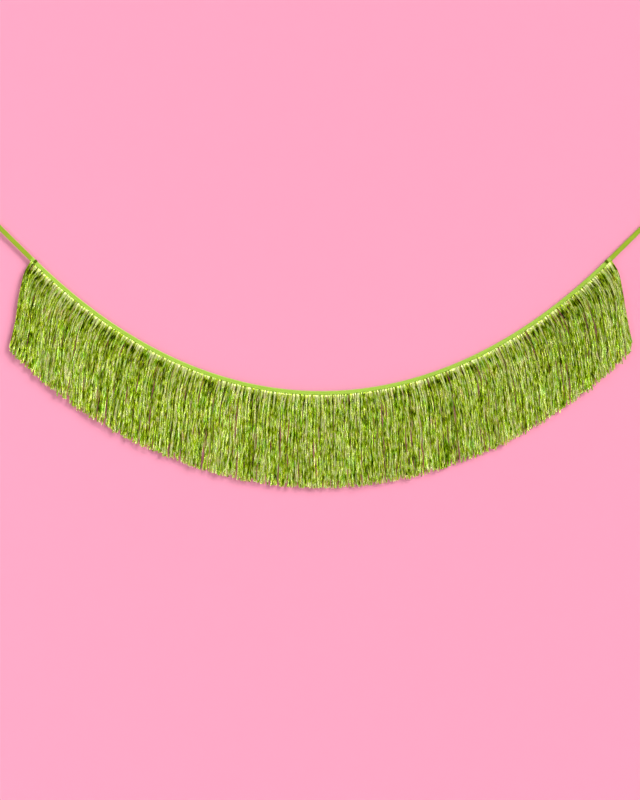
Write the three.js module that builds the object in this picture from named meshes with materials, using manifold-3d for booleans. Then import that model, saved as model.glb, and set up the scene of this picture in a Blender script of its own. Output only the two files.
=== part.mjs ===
// Fringe banner: slit metallic film hanging in a swag from a satin ribbon that is folded over its head.
// Millimetres, +Z up. The front looks along -Y and the wall is the plane y = 0.
// The origin lies on the wall, midway between the two hanging loops and level with their centres.
import * as THREE from "three";
import { mergeVertices } from "three/addons/utils/BufferGeometryUtils.js";
import Module from "manifold-3d";

const wasm = await Module();
wasm.setup();

// The swag
const fringeLength = 1366; // along the ribbon, from the first strand to the last
const swagRadius = 693; // radius of the ribbon's curve at its lowest point
const bannerDrop = 203; // from the ribbon's top edge to the cut ends of the strands
const standOff = 5; // from the wall to the middle plane of the ribbon

// The satin ribbon, folded in half lengthwise over the head of the film
const ribbonWidth = 19.6; // flat, before folding
const hemWidth = 2; // of the ribbon's front edge, turned under, which leaves the front wall that much shorter
const ribbonThickness = 0.5;
const ribbonEndMargin = 2; // fold that runs on past the film
const pieceClearance = 0.3; // between pieces that touch
const headThickness = 1.2; // all the film's plies pressed together inside the fold
const headShow = 0.7; // unslit film that shows below the ribbon's lips

// The slit film
const sectionCount = 12; // groups of strands that swing together
const frontStrands = 15; // in each section
const backStrands = 14;
const filmThickness = 0.3;
const bandHeight = 2.4; // unslit strip that carries a section's strands
const hingeGap = 0.4; // between the head and the strip, across the crease
const sectionGap = 1.2;
const plyClearance = 0.4; // between the front ply and the back ply
const swingLimit = THREE.MathUtils.degToRad(35); // either way, before neighbouring sections would cross
const droopLength = 22; // over which a strand turns from square to the ribbon to hanging
const tipSlant = 2.2; // how much longer one corner of a cut end is
const lengthScatter = 4.5; // raggedness of the cut ends, to either side
const plyPuff = 2.1; // how far a ply bows away from the middle plane
const fanShare = 0.23; // part of the ribbon's slope that a strand keeps all the way down
const strandWidthShare = 0.58; // strand width as a share of the pitch of the slits
const swayShare = 0.3; // sideways wander as a share of the gap between strands
const twistLimit = THREE.MathUtils.degToRad(24);
const kneeShares = [0.09, 0.36]; // where a strand bends, as shares of its length
const frontPuffShares = [0.7, 0.95, 1.3]; // bow at each bend and at the tip, which flares at the front
const backPuffShares = [0.75, 1, 0.35]; // and lies back towards the wall behind
const swayShares = [0.3, 1, 1];

// The bar tacks that close the fold over both ends of the film
const tackLength = 5.2;
const tackWall = 0.8;
const tackSetback = 8.6; // from the end of the film to the middle of the tack
const tackInset = 0.4; // from the front lip up to the lowest stitches

// The ribbon's tails, knots and hanging loops
const tailLength = 105;
const knotLength = 12;
const knotRadius = 5.6;
const knotDepthShare = 0.8;
const knotWaistShare = 0.78;
const loopRadius = 6; // inside, round the pin
const loopReach = 19; // from the knot to the centre of the loop
const loopWall = 1; // the ribbon's two layers
const spareEndLength = 17;
const spareEndTurn = THREE.MathUtils.degToRad(72);
const notchDepth = 4;

const foldHeight = ribbonWidth / 2;
const frontLip = foldHeight - hemWidth; // depth of the front lip below the ribbon's top edge
const foldDepth = headThickness + 2 * pieceClearance + 2 * ribbonThickness;
const hemDepth = foldDepth + 2 * ribbonThickness; // as deep as the fold is at the hem, were it so on both sides
const halfArc = fringeLength / 2;
const ribbonHalfArc = halfArc + ribbonEndMargin;
const tackArc = halfArc - tackSetback;
const hingeDepth = foldHeight + headShow + hingeGap / 2; // of the crease, below the ribbon's top edge
const bandTopDepth = hingeDepth + hingeGap / 2;
const strandDrop = bannerDrop - bandTopDepth - bandHeight;
const sectionArc = fringeLength / sectionCount;
const swingShift = (strandDrop * (1 - Math.cos(swingLimit)) * sectionArc) / swagRadius; // neighbours' tips close up
const tailThickness = 2 * ribbonThickness;

// Where the swag ends and the straight tails begin, before the whole is set level with the loops
const endSlope = Math.atan(ribbonHalfArc / swagRadius);
const tailReach = pieceClearance + tailLength + pieceClearance + knotLength + pieceClearance + loopReach;
const tailRise = tailReach * Math.sin(endSlope) + (foldHeight / 2) * -Math.cos(endSlope);
const swagRise = Math.hypot(swagRadius, ribbonHalfArc) - swagRadius;
const lowestTop = -(swagRise + tailRise); // height of the ribbon's top edge at the middle of the swag

// Materials
const finish = (color, roughness, metalness) => new THREE.MeshStandardMaterial({ color, roughness, metalness });
const satin = () => finish(0xa9d63a, 0.42, 0);
const thread = () => finish(0x5f8212, 0.7, 0);
const frontFilm = () => finish(0x9ccf3c, 0.22, 0.85);
const backFilm = () => finish(0x84b52e, 0.26, 0.85);
const headFilm = () => finish(0x6f9a24, 0.3, 0.85);

const banner = new THREE.Group();
banner.name = "fringe_banner";

function addPiece(parent, name, geometry, material) {
  const mesh = new THREE.Mesh(geometry, material);
  mesh.name = name;
  parent.add(mesh);
  return mesh;
}

// Slope of the ribbon at a distance along it from the middle, which for a catenary is this simple
const slopeAt = (arc) => Math.atan(arc / swagRadius);

// A point so far along the ribbon and so deep below its top edge, square to the edge
function swagPoint(arc, depth, y) {
  const slope = slopeAt(arc);
  const x = swagRadius * Math.asinh(arc / swagRadius) + depth * Math.sin(slope);
  const z = lowestTop + Math.hypot(swagRadius, arc) - swagRadius - depth * Math.cos(slope);
  return new THREE.Vector3(x, y, z);
}

// The ribbon's top edge between two distances along it
class SwagCurve extends THREE.Curve {
  constructor(reach) {
    super();
    this.reach = reach;
  }
  getPoint(share, target = new THREE.Vector3()) {
    return target.copy(swagPoint((2 * share - 1) * this.reach, 0, -standOff));
  }
}

// Sweeps a closed section along the swag. Its x runs to the front and its y runs down from the top edge.
function sweepSwag(section, reach, steps) {
  const options = { steps, extrudePath: new SwagCurve(reach), bevelEnabled: false, curveSegments: 2 };
  return new THREE.ExtrudeGeometry(section, options);
}

// Ribbon fold: two walls and the rounded fold that joins them over the film. The front wall is doubled at its hem.
function foldSection() {
  const outer = foldDepth / 2;
  const inner = outer - ribbonThickness;
  const shape = new THREE.Shape();
  shape.moveTo(hemDepth / 2, frontLip);
  shape.lineTo(hemDepth / 2, frontLip - hemWidth);
  shape.lineTo(outer, frontLip - hemWidth - ribbonThickness);
  shape.lineTo(outer, outer);
  shape.absarc(0, outer, outer, 0, -Math.PI, true);
  shape.lineTo(-outer, foldHeight);
  shape.lineTo(-inner, foldHeight);
  shape.lineTo(-inner, outer);
  shape.absarc(0, outer, inner, -Math.PI, 0, false);
  shape.lineTo(inner, frontLip);
  shape.closePath();
  return shape;
}

function headSection() {
  const half = headThickness / 2;
  const top = ribbonThickness + pieceClearance + half;
  const bottom = foldHeight + headShow;
  const shape = new THREE.Shape();
  shape.moveTo(-half, top);
  shape.lineTo(half, top);
  shape.lineTo(half, bottom);
  shape.lineTo(-half, bottom);
  shape.closePath();
  return shape;
}

const swagSteps = 48;
addPiece(banner, "header_ribbon", sweepSwag(foldSection(), ribbonHalfArc, swagSteps), satin());
addPiece(banner, "film_head", sweepSwag(headSection(), halfArc, swagSteps), headFilm());

// An even scatter between -1 and 1, the same on every run
const goldenShare = 0.618034;
const scatterStart = 5; // another whole number ruffles the strands another way
const scatter = (index) => 2 * ((index * goldenShare) % 1) - 1;

// Follows a strand from its root. It leaves square to the ribbon and turns towards the vertical.
function followStrand(arc, length) {
  const root = swagPoint(arc, bandTopDepth + bandHeight, -standOff);
  const side = Math.sin(slopeAt(arc));
  const steps = Math.max(1, Math.ceil((24 * length) / strandDrop));
  const step = length / steps;
  const direction = new THREE.Vector3();
  for (let i = 0; i < steps; i++) {
    const keep = fanShare + (1 - fanShare) * Math.exp((-(i + 1 / 2) * step) / droopLength);
    direction.set(side * keep, 0, -Math.sqrt(1 - (side * keep) ** 2));
    root.addScaledVector(direction, step);
  }
  return { point: root, direction };
}

// One ply of one section: an unslit strip and the strands cut from it, all one piece of film.
// ply is -1 for the front and 1 for the back.
function slitPly(section, strands, ply) {
  const positions = [];
  const faces = [];
  const addPoint = (p) => positions.push(p.x, p.y, p.z) / 3 - 1;
  const addQuad = (a, b, c, d) => faces.push(a, b, c, a, c, d);

  const start = -halfArc + section * sectionArc + sectionGap / 2;
  const pitch = (sectionArc - sectionGap) / strands;
  const middle = start + (sectionArc - sectionGap) / 2;
  const strandWidth = pitch * strandWidthShare;
  const strandGap = pitch - strandWidth;
  const sway = strandGap * swayShare;
  const puffShares = ply < 0 ? frontPuffShares : backPuffShares;
  const edgeDrawIn = Math.max(0, swingShift - sectionGap - strandGap + 2 * sway) / 2;
  const inner = plyClearance / 2;
  const outer = inner + filmThickness;
  const frontY = -standOff + (ply < 0 ? -outer : inner);
  const backY = -standOff + (ply < 0 ? -inner : outer);
  const clearTwist = inner + filmThickness / 2 + (strandWidth / 2) * Math.sin(twistLimit);

  const columns = [];
  for (let j = 0; j <= strands; j++) {
    const arc = start + j * pitch;
    columns.push({
      topFront: addPoint(swagPoint(arc, bandTopDepth, frontY)),
      topBack: addPoint(swagPoint(arc, bandTopDepth, backY)),
      lowFront: addPoint(swagPoint(arc, bandTopDepth + bandHeight, frontY)),
      lowBack: addPoint(swagPoint(arc, bandTopDepth + bandHeight, backY)),
    });
  }

  const first = columns[0];
  const last = columns[strands];
  addQuad(first.lowBack, first.lowFront, first.topFront, first.topBack);
  addQuad(last.lowFront, last.lowBack, last.topBack, last.topFront);

  for (let i = 0; i < strands; i++) {
    const left = columns[i];
    const right = columns[i + 1];
    addQuad(left.lowFront, right.lowFront, right.topFront, left.topFront);
    addQuad(left.lowBack, left.topBack, right.topBack, right.lowBack);
    addQuad(left.topFront, right.topFront, right.topBack, left.topBack);

    const seed = (section * 2 + (ply + 1) / 2) * (frontStrands + backStrands) + i + scatterStart;
    const arc = start + (i + 1 / 2) * pitch;
    const length = strandDrop - lengthScatter + lengthScatter * scatter(3 * seed);
    let upper = [left.lowFront, right.lowFront, right.lowBack, left.lowBack];
    const stations = [...kneeShares, 1];
    stations.forEach((share, m) => {
      const { point, direction } = followStrand(arc, length * share);
      const across = new THREE.Vector3(-direction.z, 0, direction.x);
      const drawIn = (edgeDrawIn * share * (middle - arc)) / (middle - start);
      point.addScaledVector(across, drawIn + sway * swayShares[m] * scatter(seed * (m + 2)));
      point.y += ply * (clearTwist + plyPuff * puffShares[m] * (1 + scatter(5 * seed + m) / 4));
      const twist = twistLimit * scatter(7 * seed + 2 * m);
      const width = across.clone().multiplyScalar((strandWidth / 2) * Math.cos(twist));
      width.y = (strandWidth / 2) * Math.sin(twist);
      const depth = across.clone().multiplyScalar((-filmThickness / 2) * Math.sin(twist));
      depth.y = (filmThickness / 2) * Math.cos(twist);
      const slant = share < 1 ? 0 : (tipSlant / 2) * Math.sign(scatter(11 * seed));
      const corner = (w, d) =>
        addPoint(
          point
            .clone()
            .addScaledVector(width, w)
            .addScaledVector(depth, d)
            .addScaledVector(direction, w * slant),
        );
      const lower = [corner(-1, -1), corner(1, -1), corner(1, 1), corner(-1, 1)];
      // Both broad sides are cut along the same diagonal, so a twisted strand keeps its thickness
      addQuad(lower[0], lower[1], upper[1], upper[0]);
      addQuad(lower[1], lower[2], upper[2], upper[1]);
      addQuad(lower[3], upper[3], upper[2], lower[2]);
      addQuad(lower[0], upper[0], upper[3], lower[3]);
      upper = lower;
    });
    addQuad(upper[0], upper[3], upper[2], upper[1]);
  }

  const geometry = new THREE.BufferGeometry();
  geometry.setAttribute("position", new THREE.Float32BufferAttribute(positions, 3));
  geometry.setIndex(faces);
  geometry.computeVertexNormals();
  return geometry;
}

const sectionName = (section) => "section_" + String(section + 1).padStart(2, "0");
for (let section = 0; section < sectionCount; section++) {
  const group = new THREE.Group();
  banner.add(group);
  addPiece(group, sectionName(section) + "_front_ply", slitPly(section, frontStrands, -1), frontFilm());
  addPiece(group, sectionName(section) + "_back_ply", slitPly(section, backStrands, 1), backFilm());
}

// Extrudes a shape along its own z, both ways from zero
function extrudeCentred(shape, length, curveSegments) {
  const geometry = new THREE.ExtrudeGeometry(shape, { depth: length, bevelEnabled: false, curveSegments });
  return geometry.translate(0, 0, -length / 2);
}

// Joins two closed geometries into one
function join(first, second) {
  const [a, b] = [first, second].map((geometry) => {
    const bare = geometry.clone();
    bare.deleteAttribute("normal");
    bare.deleteAttribute("uv");
    const merged = mergeVertices(bare);
    const triVerts = new Uint32Array(merged.index.array);
    const vertProperties = merged.attributes.position.array;
    return new wasm.Manifold(new wasm.Mesh({ numProp: 3, vertProperties, triVerts }));
  });
  const mesh = a.add(b).getMesh();
  const geometry = new THREE.BufferGeometry();
  geometry.setAttribute("position", new THREE.BufferAttribute(mesh.vertProperties, 3));
  geometry.setIndex(new THREE.BufferAttribute(mesh.triVerts, 1));
  return geometry;
}

// Bar tack: a close band of thread astride the fold, over its top edge and down both faces, lying along its own x
function barTack() {
  const inner = hemDepth / 2 + pieceClearance;
  const outer = inner + tackWall;
  const crown = foldHeight / 2 + pieceClearance - inner;
  const foot = foldHeight / 2 - (frontLip - tackInset);
  const shape = new THREE.Shape();
  shape.moveTo(outer, foot);
  shape.absarc(0, crown, outer, 0, Math.PI, false);
  shape.lineTo(-outer, foot);
  shape.lineTo(-inner, foot);
  shape.absarc(0, crown, inner, Math.PI, 0, true);
  shape.lineTo(inner, foot);
  shape.closePath();
  const geometry = extrudeCentred(shape, tackLength, 8);
  return geometry.rotateX(Math.PI / 2).rotateZ(Math.PI / 2);
}

// Tail: the ribbon folded flat, two layers with the fold along its upper edge
function ribbonTail() {
  const shape = new THREE.Shape();
  const half = tailThickness / 2;
  shape.moveTo(-half, -foldHeight / 2);
  shape.lineTo(half, -foldHeight / 2);
  shape.lineTo(half, foldHeight / 2 - half);
  shape.absarc(0, foldHeight / 2 - half, half, 0, Math.PI, false);
  shape.closePath();
  const geometry = extrudeCentred(shape, tailLength, 2);
  return geometry.rotateX(Math.PI / 2).rotateZ(Math.PI / 2);
}

// Knot: three wraps of ribbon drawn tight, with the spare end leaving it below
function ribbonKnot() {
  const profile = [];
  const half = knotLength / 2;
  const wraps = 3;
  const pointsPerWrap = 4;
  const count = wraps * pointsPerWrap;
  profile.push(new THREE.Vector2(0, -half));
  for (let i = 0; i <= count; i++) {
    const along = -1 + (2 * i) / count;
    const bulge = Math.sqrt(1 - (along * knotWaistShare) ** 2);
    const groove = 1 - (1 - knotWaistShare) * (1 / 2) * (1 + Math.cos((2 * Math.PI * wraps * i) / count)) * (1 / 2);
    profile.push(new THREE.Vector2(knotRadius * bulge * groove, along * half));
  }
  profile.push(new THREE.Vector2(0, half));
  const barrel = new THREE.LatheGeometry(profile, 14);
  barrel.scale(1, 1, knotDepthShare);
  barrel.rotateZ(-Math.PI / 2);
  return join(barrel, spareEnd());
}

// Spare end: the cut end of the ribbon, finished with a swallow-tail notch
function spareEnd() {
  const shape = new THREE.Shape();
  const halfWidth = foldHeight / 2;
  const narrow = knotRadius / 2;
  const reach = knotRadius + spareEndLength;
  shape.moveTo(0, -narrow);
  shape.lineTo(knotRadius, -narrow);
  shape.lineTo(knotRadius + spareEndLength / 3, -halfWidth);
  shape.lineTo(reach, -halfWidth);
  shape.lineTo(reach - notchDepth, 0);
  shape.lineTo(reach, halfWidth);
  shape.lineTo(knotRadius + spareEndLength / 3, halfWidth);
  shape.lineTo(knotRadius, narrow);
  shape.lineTo(0, narrow);
  shape.closePath();
  const geometry = extrudeCentred(shape, tailThickness, 1);
  return geometry.rotateX(Math.PI / 2).rotateY(Math.PI - spareEndTurn);
}

// Teardrop outline round the pin, its point on the knot's side
function teardrop(radius, reach) {
  const shape = new THREE.Shape();
  const touch = Math.PI + Math.acos(radius / reach);
  shape.moveTo(-reach, 0);
  shape.lineTo(radius * Math.cos(touch), radius * Math.sin(touch));
  shape.absarc(0, 0, radius, touch, 4 * Math.PI - touch, false);
  shape.closePath();
  return shape;
}

// Hanging loop: the doubled ribbon brought round a pin, its width along the pin
function hangingLoop() {
  const shape = teardrop(loopRadius + loopWall, loopReach);
  const innerReach = (loopReach * loopRadius) / (loopRadius + loopWall);
  shape.holes.push(teardrop(loopRadius, innerReach));
  return extrudeCentred(shape, foldHeight, 10).rotateX(Math.PI / 2);
}

// Adds pieces that lie along their own x where the ribbon has run so far, turned up to its slope there.
// The left end is the right one mirrored. Each piece is given as its name, geometry, place along x and material.
function addAlong(side, arc, name, parts) {
  const spot = swagPoint(arc, foldHeight / 2, -standOff);
  const group = new THREE.Group();
  group.matrixAutoUpdate = false;
  group.matrix.makeScale(side, 1, 1);
  group.matrix.multiply(new THREE.Matrix4().makeTranslation(spot.x, spot.y, spot.z));
  group.matrix.multiply(new THREE.Matrix4().makeRotationY(-slopeAt(arc)));
  for (const [piece, geometry, along, material] of parts) {
    addPiece(group, name + "_" + piece, geometry, material).position.x = along;
  }
  banner.add(group);
}

function addEnd(side, name) {
  const tailStart = pieceClearance;
  const knotStart = tailStart + tailLength + pieceClearance;
  const loopCentre = knotStart + knotLength + pieceClearance + loopReach;
  addAlong(side, tackArc, name, [["bar_tack", barTack(), 0, thread()]]);
  addAlong(side, ribbonHalfArc, name, [
    ["ribbon_tail", ribbonTail(), tailStart + tailLength / 2, satin()],
    ["knot", ribbonKnot(), knotStart + knotLength / 2, satin()],
    ["hanging_loop", hangingLoop(), loopCentre, satin()],
  ]);
}

addEnd(-1, "left");
addEnd(1, "right");

export default banner;
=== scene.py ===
import math
from types import SimpleNamespace

import bmesh
import bpy
from mathutils import Matrix, Vector, noise


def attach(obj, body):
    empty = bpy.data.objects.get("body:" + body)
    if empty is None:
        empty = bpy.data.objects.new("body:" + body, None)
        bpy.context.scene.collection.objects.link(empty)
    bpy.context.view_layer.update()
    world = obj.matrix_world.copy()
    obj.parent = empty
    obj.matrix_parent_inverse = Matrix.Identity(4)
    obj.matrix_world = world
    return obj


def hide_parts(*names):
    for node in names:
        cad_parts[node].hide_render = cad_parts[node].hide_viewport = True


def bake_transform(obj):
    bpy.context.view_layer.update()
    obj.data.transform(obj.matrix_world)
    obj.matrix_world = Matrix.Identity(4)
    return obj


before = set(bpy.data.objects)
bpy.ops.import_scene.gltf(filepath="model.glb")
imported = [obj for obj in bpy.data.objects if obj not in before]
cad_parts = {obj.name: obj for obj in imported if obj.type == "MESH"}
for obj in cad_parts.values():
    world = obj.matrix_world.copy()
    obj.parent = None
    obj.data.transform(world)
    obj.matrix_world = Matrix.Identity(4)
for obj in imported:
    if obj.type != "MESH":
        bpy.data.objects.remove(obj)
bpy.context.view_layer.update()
print("frame loaded:", len(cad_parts), "solids")

mm = 0.001

# The ribbon's curve and its ends, as the solids have them
swag = SimpleNamespace(
    length=1366 * mm,  # of the fringe, along the ribbon
    radius=693 * mm,  # of the curve at its lowest point
    drop=203 * mm,  # from the ribbon's top edge to the cut ends
    standOff=5 * mm,  # from the wall to the middle of the ribbon
    endMargin=2 * mm,
    foldHeight=9.8 * mm,
    frontLip=7.8 * mm,  # the front wall is shorter by its hem
    hemWidth=2 * mm,
    tackSetback=8.6 * mm,  # from the end of the fringe to the middle of the bar tack
    tackFoot=7.4 * mm,  # how far its stitches reach below the ribbon's top edge
    tailLength=105 * mm,
    knotLength=12 * mm,
    loopReach=19 * mm,
    clearance=0.3 * mm,
    sections=12,
)
halfArc = swag.length / 2
sectionArc = swag.length / swag.sections
ribbonHalfArc = halfArc + swag.endMargin
endSlope = math.atan(ribbonHalfArc / swag.radius)
knotStart = swag.clearance * 2 + swag.tailLength
loopCentre = knotStart + swag.knotLength + swag.clearance + swag.loopReach
swagRise = math.hypot(swag.radius, ribbonHalfArc) - swag.radius
tailRise = loopCentre * math.sin(endSlope) - swag.foldHeight / 2 * math.cos(endSlope)
topHeight = -(swagRise + tailRise)  # of the ribbon's top edge at the middle of the swag
axisX, axisY, axisZ = Vector((1, 0, 0)), Vector((0, 1, 0)), Vector((0, 0, 1))


def swagPoint(arc, depth, y):
    slope = math.atan(arc / swag.radius)
    x = swag.radius * math.asinh(arc / swag.radius) + depth * math.sin(slope)
    z = topHeight + math.hypot(swag.radius, arc) - swag.radius - depth * math.cos(slope)
    return Vector((x, y, z))


# Places a piece that was made along +x on the ribbon's middle line. The left one is mirrored.
def ribbonPlace(arc, side):
    spot = swagPoint(arc, swag.foldHeight / 2, -swag.standOff)
    turn = Matrix.Rotation(-math.atan(arc / swag.radius), 4, "Y")
    return Matrix.Diagonal((side, 1, 1, 1)) @ Matrix.Translation(spot) @ turn


# Nodes are added to the tree that was begun last
work = {}


# A node's output, for sums in materials and in geometry trees alike
class Term:
    def __init__(self, socket):
        self.socket = socket

    __add__ = __radd__ = lambda self, other: calc("ADD", self, other)
    __mul__ = __rmul__ = lambda self, other: calc("MULTIPLY", self, other)
    __sub__ = lambda self, other: calc("SUBTRACT", self, other)
    __rsub__ = lambda self, other: calc("SUBTRACT", other, self)
    __truediv__ = lambda self, other: calc("DIVIDE", self, other)
    __neg__ = lambda self: calc("MULTIPLY", self, -1)


def plug(socket, value):
    if isinstance(value, Term):
        work["tree"].links.new(value.socket, socket)
    else:
        socket.default_value = value


# A node whose inputs are given in their own order
def newNode(kind, *values, **settings):
    node = work["tree"].nodes.new(kind)
    for name, value in settings.items():
        setattr(node, name, value)
    for socket, value in zip(node.inputs, values):
        plug(socket, value)
    return node


def calc(operation, *terms):
    return Term(newNode("ShaderNodeMath", *terms, operation=operation).outputs[0])


def vector(*terms):
    return Term(newNode("ShaderNodeCombineXYZ", *terms).outputs[0])


def split(place):
    return [Term(socket) for socket in newNode("ShaderNodeSeparateXYZ", place).outputs]


# A node with its inputs by name. It gives the first output in use, or the one that is named. Kinds of
# geometry nodes come without their prefix.
def addNode(kind, inputs=None, give=None, **settings):
    node = newNode(kind if "Node" in kind else "GeometryNode" + kind, **settings)
    for name, value in (inputs or {}).items():
        plug(next(s for s in node.inputs if s.enabled and s.name == name), value)
    return Term(next(s for s in node.outputs if s.enabled and give in (None, s.name)))


def clamp(value, low=0, high=1):
    if isinstance(value, Term):
        return calc("MINIMUM", calc("MAXIMUM", value, low), high)
    return min(high, max(low, value))


# 0 below one value and 1 above the other, with a soft change between them. It takes terms and numbers.
def step(value, low, high):
    share = clamp((value - low) / (high - low))
    return share * share * (3 - 2 * share)


def noiseAt(place, detail=2, roughness=0.5):
    inputs = {"Vector": vector(*place), "Scale": 1, "Detail": detail, "Roughness": roughness}
    return addNode("ShaderNodeTexNoise", inputs)


# Begins a node group. The values that its inputs start with also tell their kinds.
def newTree(name, kind, inputs):
    tree = work["tree"] = bpy.data.node_groups.new(name, kind)
    kinds = {int: "NodeSocketInt", float: "NodeSocketFloat"}
    for label, value in inputs.items():
        socketType = kinds.get(type(value), "NodeSocketMaterial")
        tree.interface.new_socket(name=label, in_out="INPUT", socket_type=socketType).default_value = value
    given = tree.nodes.new("NodeGroupInput")
    return SimpleNamespace(**{label: Term(given.outputs[label]) for label in inputs})


def endTree(socketType, **outputs):
    tree = work["tree"]
    for label in outputs:
        tree.interface.new_socket(name=label, in_out="OUTPUT", socket_type=socketType)
    newNode("NodeGroupOutput", *outputs.values())
    return tree


# The end that all geometry trees share
def endMesh(geometry, material):
    real = addNode("RealizeInstances", {"Geometry": geometry})
    smooth = addNode("SetShadeSmooth", {"Geometry": real})
    coated = addNode("SetMaterial", {"Geometry": smooth, "Material": material})
    return endTree("NodeSocketGeometry", mesh=coated)


def newMaterial(name, **values):
    material = bpy.data.materials.new(name)
    material.use_nodes = True
    work["tree"] = material.node_tree
    shader = material.node_tree.nodes["Principled BSDF"]
    for label, value in values.items():
        shader.inputs[label.replace("_", " ")].default_value = value
    return material, shader


def useGroup(group, **inputs):
    node = newNode("ShaderNodeGroup", node_tree=group)
    for label, value in inputs.items():
        plug(node.inputs[label], value)
    return SimpleNamespace(**{socket.name: Term(socket) for socket in node.outputs})


# Camera, wall, floor and lamps
studio = SimpleNamespace(
    lens=100,
    sensor=36,
    clipEnd=50,
    aim=(-2.1 * mm, topHeight - 18.8 * mm),  # x and z of the picture's middle
    pictureHeight=1.68,
    reach=7,  # of the wall and the floor, to either side
    wallPlace=0.5 * mm,  # behind the plane that the banner hangs on
    wallTop=5,
    floorHeight=-1.3,
    wallColor=(0.975, 0.362, 0.520),
    floorColor=(0.62, 0.60, 0.59),
    worldColor=(0.335, 0.325, 0.33),
    suns={
        # name: (direction, strength)
        "keySun": ((1.58, -1.0, 1.33), 3.55),
        "glintSun": ((0.3, -1.0, 1.35), 1.65),  # lights what shines alone, so that both slopes glint alike
    },
    sunWidth=math.radians(27),
    lamps={
        # name: (place, width, height, watts, colour)
        "sideLamp": ((3.0, -1.6, -0.25), 0.3, 1.5, 10, (1.0, 1.0, 0.98)),
        "fillLamp": ((-2.8, -1.7, -0.15), 0.4, 1.5, 12.5, (0.98, 0.99, 1.0)),
        "topLamp": ((0.1, -1.2, 2.1), 2.6, 0.3, 6, (1.0, 1.0, 0.97)),
        "rearLamp": ((-0.8, 2.4, 0.9), 1.4, 1.4, 26, (1.0, 1.0, 1.0)),
    },
)


def aimLamp(name, light, place, aim):
    lamp = bpy.data.objects.new(name, light)
    lamp.location = place
    lamp.rotation_euler = (aim - Vector(place)).to_track_quat("-Z", "Y").to_euler()
    bpy.context.scene.collection.objects.link(lamp)
    return lamp


def makeCamera():
    scene = bpy.context.scene
    scene.view_settings.view_transform = "Standard"
    lens = bpy.data.cameras.new("camera")
    lens.lens = studio.lens
    lens.sensor_width = studio.sensor
    lens.clip_end = studio.clipEnd
    camera = bpy.data.objects.new("camera", lens)
    distance = studio.pictureHeight * studio.lens / studio.sensor
    camera.location = (studio.aim[0], -swag.standOff - distance, studio.aim[1])
    camera.rotation_euler = (math.pi / 2, 0, 0)
    scene.collection.objects.link(camera)
    scene.camera = camera


def makeLight():
    world = bpy.data.worlds.new("studioWorld")
    bpy.context.scene.world = world
    world.use_nodes = True
    world.node_tree.nodes["Background"].inputs["Color"].default_value = (*studio.worldColor, 1)
    aim = Vector((0, -swag.standOff, studio.aim[1]))
    for name, (direction, strength) in studio.suns.items():
        sun = bpy.data.lights.new(name, "SUN")
        sun.energy, sun.angle = strength, studio.sunWidth
        lamp = aimLamp(name, sun, aim + Vector(direction) * 2, aim)
        lamp.visible_glossy = name == "glintSun"
        lamp.visible_diffuse = name == "keySun"
    for name, (place, width, height, watts, color) in studio.lamps.items():
        light = bpy.data.lights.new(name, "AREA")
        light.shape = "RECTANGLE"
        light.size, light.size_y = width, height
        light.energy, light.color = watts, color
        aimLamp(name, light, place, aim)


# The wall shows from the front alone, and lamps shine through it, so the banner's back is lit and seen
def wallPaint():
    color = (*studio.wallColor, 1)
    material, paint = newMaterial("wallPaint", Base_Color=color, Roughness=0.9, Specular_IOR_Level=0.1)
    rays = ("Is Camera Ray", "Is Glossy Ray", "Is Transmission Ray")
    camera, glossy, transmitted = (addNode("ShaderNodeLightPath", give=ray) for ray in rays)
    seen = calc("MAXIMUM", calc("MAXIMUM", camera, glossy), transmitted)
    front = clamp(seen - addNode("ShaderNodeNewGeometry", give="Backfacing"))
    clear = addNode("ShaderNodeBsdfTransparent")
    mix = newNode("ShaderNodeMixShader", front, clear, Term(paint.outputs[0]))
    plug(material.node_tree.nodes["Material Output"].inputs["Surface"], Term(mix.outputs[0]))
    return material


def stageSheet(name, corners, material):
    mesh = bpy.data.meshes.new(name)
    mesh.from_pydata(corners, [], [tuple(range(len(corners)))])
    mesh.materials.append(material)
    sheet = bpy.data.objects.new(name, mesh)
    bpy.context.scene.collection.objects.link(sheet)


def makeStage():
    reach, back = studio.reach, studio.wallPlace
    low, high = studio.floorHeight, studio.wallTop
    corners = [(-reach, back, low), (reach, back, low), (reach, back, high), (-reach, back, high)]
    stageSheet("wall", corners, wallPaint())
    floorPaint = newMaterial("floorPaint", Base_Color=(*studio.floorColor, 1), Roughness=0.85)[0]
    corners = [(-reach, -reach, low), (reach, -reach, low), (reach, reach, low), (-reach, reach, low)]
    stageSheet("floor", corners, floorPaint)


makeCamera()
makeLight()
makeStage()
print("studio ready")


def ramp(share, places, colors):
    node = newNode("ShaderNodeValToRGB", share)
    elements = node.color_ramp.elements
    while len(elements) < len(places):
        elements.new(0.5)
    for element, place, color in zip(elements, places, colors):
        element.position = place
        element.color = (*color, 1)
    return Term(node.outputs[0])


def mixColor(share, first, second, blend="MIX"):
    second = second if isinstance(second, Term) else (*second, 1)
    inputs = {"Factor": share, "A": first, "B": second}
    return addNode("ShaderNodeMix", inputs, data_type="RGBA", blend_type=blend, clamp_factor=True)


def coat(shader, color, roughness, height, bumpDepth):
    plug(shader.inputs["Base Color"], color)
    if roughness:
        plug(shader.inputs["Roughness"], roughness)
    normal = addNode("ShaderNodeBump", {"Height": height, "Distance": bumpDepth, "Strength": 1.0})
    plug(shader.inputs["Normal"], normal)


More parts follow.
